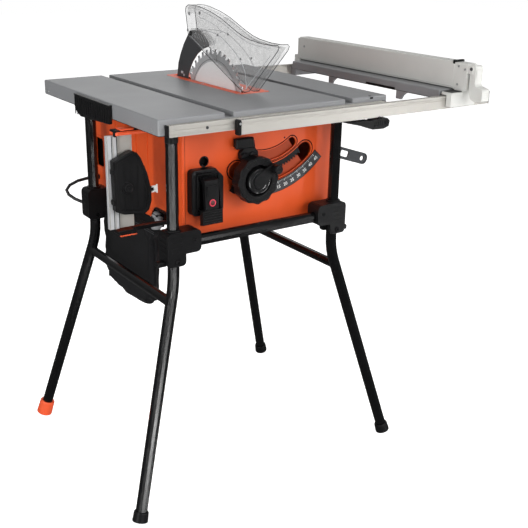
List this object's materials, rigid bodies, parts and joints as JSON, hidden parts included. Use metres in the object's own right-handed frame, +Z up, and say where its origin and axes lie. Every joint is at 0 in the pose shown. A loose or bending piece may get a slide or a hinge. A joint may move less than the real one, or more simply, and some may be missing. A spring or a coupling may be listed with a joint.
{
  "type": "table saw",
  "caption": "Portable table saw on a folding tube stand, with a tilting, rising blade under a clear guard, a telescoping side extension, a rip fence and a stored mitre gauge.",
  "frame": {"origin": "on the floor, at the bottom centre of the whole saw's bounding box", "axes": "+Z is up, out of the table top. +X is to the operator's right, toward the table extension. +Y is to the rear, away from the operator"},
  "size_m": [0.9601, 0.69, 1.021],
  "materials": {
    "table_paint": "smooth grey enamel, slightly speckled",
    "orange_shell": "fine moulded texture",
    "orange_insert": "satin enamel",
    "black_plastic": "fine moulded texture",
    "black_tube": "semi-gloss powder coat",
    "rail_aluminium": "brushed along its length",
    "bright_steel": "ground bright",
    "dark_steel": "blackened",
    "cast_metal": "as cast",
    "clear_plastic": "clear polycarbonate, grey at its edges",
    "bag_fabric": "woven nylon",
    "cord_rubber": "smooth",
    "fence_white": "satin warm white",
    "scale_plate": null
  },
  "bodies": {
    "table_and_case": {"table_top": "table_paint", "throat_insert": "orange_insert", "case_shell": "orange_shell", "rear_cover": "black_plastic", "dust_chute": "black_plastic", "front_rail": "rail_aluminium", "rear_rail": "rail_aluminium", "front_trunnion": "cast_metal", "rear_trunnion": "cast_metal", "bevel_scale": "scale_plate", "bevel_rack": "black_plastic", "switch_box": "black_plastic", "side_carry_handle": "black_plastic", "gauge_holder": "orange_insert", "power_cord": "cord_rubber", "dust_bag": "bag_fabric", "front_frame_tube": "black_tube", "rear_frame_tube": "black_tube", "front_left_bracket": "black_plastic", "front_right_bracket": "black_plastic", "rear_left_bracket": "black_plastic", "rear_right_bracket": "black_plastic"},
    "tilt_carriage": {"tilt_frame": "cast_metal", "guide_rod_front": "bright_steel", "guide_rod_rear": "bright_steel", "riving_knife": "dark_steel"},
    "lead_screw": {"lead_screw": "bright_steel"},
    "height_crank": {"height_crank": "black_plastic"},
    "crank_knob": {"crank_knob": "black_plastic"},
    "bevel_wheel": {"bevel_wheel": "black_plastic"},
    "bevel_lock": {"bevel_lock_lever": "black_plastic"},
    "blade_unit": {"gear_case": "cast_metal", "motor_housing": "black_plastic"},
    "arbor": {"arbor_shaft": "bright_steel", "driven_gear": "dark_steel", "saw_blade": "bright_steel", "arbor_nut": "dark_steel"},
    "armature": {"motor_armature": "dark_steel"},
    "guard_arm": {"guard_arm": "clear_plastic"},
    "blade_guard": {"blade_guard": "clear_plastic"},
    "left_legs": {"left_leg_frame": "black_tube", "front_left_foot": "black_plastic"},
    "leveling_foot": {"leveling_foot": "orange_insert"},
    "right_legs": {"right_leg_frame": "black_tube", "front_right_foot": "black_plastic", "rear_right_foot": "black_plastic"},
    "left_release": {"left_leg_release": "black_plastic"},
    "right_release": {"right_leg_release": "black_plastic"},
    "extension": {"front_extension_rail": "rail_aluminium", "rear_extension_rail": "rail_aluminium", "extension_table": "table_paint"},
    "extension_lock": {"extension_lock_lever": "black_plastic"},
    "rip_fence": {"fence_beam": "fence_white", "fence_head": "fence_white"},
    "fence_lever": {"fence_lever": "fence_white"},
    "miter_gauge": {"miter_bar": "bright_steel", "miter_fence_plate": "rail_aluminium"},
    "miter_head": {"miter_head": "black_plastic"},
    "switch_paddle": {"switch_paddle": "black_plastic"},
    "blade_wrench": {"blade_wrench": "dark_steel"}
  },
  "joints": [
    {"name": "blade_bevel", "type": "hinge", "parent": "table_and_case", "child": "tilt_carriage", "pos_m": [-0.07505, 0.055, 0.849], "axis": [0, -1, 0], "range_deg": [0, 45]},
    {"name": "blade_height", "type": "slide", "parent": "tilt_carriage", "child": "blade_unit", "axis": [0, 0, 1], "range_m": [-0.08, 0]},
    {"name": "bevel_wheel_turn", "type": "hinge", "parent": "tilt_carriage", "child": "bevel_wheel", "pos_m": [-0.12202, -0.147, 0.6852], "axis": [0, -1, 0], "range_deg": [0, 753.75]},
    {"name": "height_crank_turn", "type": "hinge", "parent": "tilt_carriage", "child": "height_crank", "pos_m": [-0.12202, -0.147, 0.6852], "axis": [0, 1, 0], "range_deg": [-3600, 0]},
    {"name": "lead_screw_turn", "type": "hinge", "parent": "tilt_carriage", "child": "lead_screw", "pos_m": [-0.12202, -0.085, 0.6852], "axis": [0, 0, 1], "range_deg": [-3600, 0]},
    {"name": "crank_knob_spin", "type": "hinge", "parent": "height_crank", "child": "crank_knob", "pos_m": [-0.08721, -0.21, 0.70958], "axis": [0, 1, 0], "continuous": true},
    {"name": "bevel_lock_swing", "type": "hinge", "parent": "tilt_carriage", "child": "bevel_lock", "pos_m": [-0.11399, -0.147, 0.72917], "axis": [0, 1, 0], "range_deg": [0, 35]},
    {"name": "arbor_spin", "type": "hinge", "parent": "blade_unit", "child": "arbor", "pos_m": [-0.07505, 0.055, 0.802], "axis": [1, 0, 0], "continuous": true},
    {"name": "armature_spin", "type": "hinge", "parent": "blade_unit", "child": "armature", "pos_m": [-0.07505, 0.07, 0.77602], "axis": [1, 0, 0], "continuous": true},
    {"name": "guard_ride_up", "type": "hinge", "parent": "tilt_carriage", "child": "guard_arm", "pos_m": [-0.07505, 0.143, 0.957], "axis": [-1, 0, 0], "range_deg": [0, 4]},
    {"name": "guard_lift", "type": "hinge", "parent": "guard_arm", "child": "blade_guard", "pos_m": [-0.07505, 0.143, 0.957], "axis": [-1, 0, 0], "range_deg": [0, 50]},
    {"name": "left_leg_fold", "type": "hinge", "parent": "table_and_case", "child": "left_legs", "pos_m": [-0.32745, -0.189, 0.545], "axis": [0, -1, 0], "range_deg": [0, 95], "deforming": ["dust_bag"]},
    {"name": "right_leg_fold", "type": "hinge", "parent": "table_and_case", "child": "right_legs", "pos_m": [0.08895, -0.189, 0.545], "axis": [0, 1, 0], "range_deg": [0, 76]},
    {"name": "leveling_foot_turn", "type": "hinge", "parent": "left_legs", "child": "leveling_foot", "pos_m": [-0.46185, 0.27207, 0.00579], "axis": [0.2633, -0.1529, 0.9525], "range_deg": [-180, 180]},
    {"name": "left_release_press", "type": "slide", "parent": "table_and_case", "child": "left_release", "axis": [1, 0, 0], "range_m": [0, 0.005]},
    {"name": "right_release_press", "type": "slide", "parent": "table_and_case", "child": "right_release", "axis": [-1, 0, 0], "range_m": [0, 0.005]},
    {"name": "extension_slide", "type": "slide", "parent": "table_and_case", "child": "extension", "axis": [1, 0, 0], "range_m": [-0.15, 0]},
    {"name": "extension_lock_swing", "type": "hinge", "parent": "table_and_case", "child": "extension_lock", "pos_m": [0.15595, -0.265, 0.797], "axis": [0, -1, 0], "range_deg": [0, 50]},
    {"name": "fence_slide", "type": "slide", "parent": "extension", "child": "rip_fence", "axis": [1, 0, 0], "range_m": [-0.41, 0.035]},
    {"name": "fence_lever_swing", "type": "hinge", "parent": "rip_fence", "child": "fence_lever", "pos_m": [0.36795, -0.31, 0.899], "axis": [-1, 0, 0], "range_deg": [0, 60]},
    {"name": "miter_gauge_take_off", "type": "slide", "parent": "table_and_case", "child": "miter_gauge", "axis": [-1, 0, 0], "range_m": [0, 0.12]},
    {"name": "miter_head_swivel", "type": "hinge", "parent": "miter_gauge", "child": "miter_head", "pos_m": [-0.39805, -0.115, 0.694], "axis": [0, 1, 0], "range_deg": [-45, 45]},
    {"name": "switch_paddle_swing", "type": "hinge", "parent": "table_and_case", "child": "switch_paddle", "pos_m": [-0.23105, -0.173, 0.694], "axis": [-1, 0, 0], "range_deg": [-3, 12]},
    {"name": "wrench_pull", "type": "slide", "parent": "table_and_case", "child": "blade_wrench", "axis": [1, 0, 0], "range_m": [0, 0.06]}
  ],
  "couplings": [
    {"joint": "bevel_wheel_turn", "follows": "blade_bevel", "ratio": 16.75},
    {"joint": "guard_ride_up", "follows": "blade_bevel", "ratio": 0.088889},
    {"joint": "height_crank_turn", "follows": "blade_height", "rad_per_m": 785.4},
    {"joint": "lead_screw_turn", "follows": "blade_height", "rad_per_m": 785.4},
    {"joint": "armature_spin", "follows": "arbor_spin", "ratio": -3}
  ]
}
